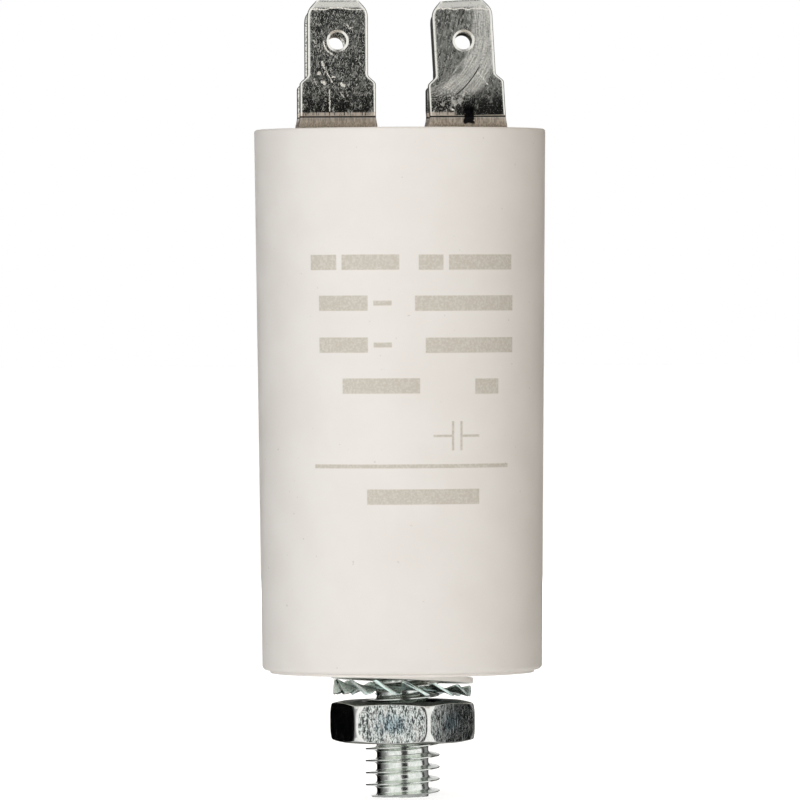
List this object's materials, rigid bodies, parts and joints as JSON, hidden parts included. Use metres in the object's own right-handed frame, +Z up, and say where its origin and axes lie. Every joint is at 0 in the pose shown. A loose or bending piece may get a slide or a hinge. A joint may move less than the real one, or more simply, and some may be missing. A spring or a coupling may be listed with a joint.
{
  "type": "motor run capacitor",
  "caption": "Motor-run film capacitor: white plastic can with double blade terminals on its lid and a threaded mounting stud below, with washers and a hex nut.",
  "frame": {"origin": "On the stud's axis, in the plane of the foot ring under the can, which seats on a panel.", "axes": "+Z runs up the can from the stud to the terminals, -Y is the front as pictured, +X is to the right, along the row of the two terminals."},
  "size_m": [0.0303, 0.0302, 0.0829],
  "materials": {
    "can_plastic": "matte, lightly textured moulding",
    "lid_plastic": "matte",
    "plated_terminal": "tin plated, scratched and dull in patches",
    "plated_rivet": "tin plated",
    "zinc_stud": "zinc plated",
    "washer_plastic": "matte",
    "zinc_washer": "zinc plated, with a cool tint",
    "zinc_nut": "zinc plated, with small pits",
    "film": "metallised film, wound, with metal sprayed on both ends",
    "core_plastic": "plain",
    "lead_copper": "tinned copper",
    "resin": "cast"
  },
  "bodies": {
    "root": {"can": "can_plastic", "lid": "lid_plastic", "terminal_left": "plated_terminal", "terminal_right": "plated_terminal", "terminal_rivets": "plated_rivet", "stud": "zinc_stud", "flat_washer": "washer_plastic", "toothed_washer": "zinc_washer", "hex_nut": "zinc_nut", "winding": "film", "winding_core": "core_plastic", "lead_wire_left": "lead_copper", "lead_wire_right": "lead_copper", "potting_resin": "resin"}
  },
  "joints": []
}
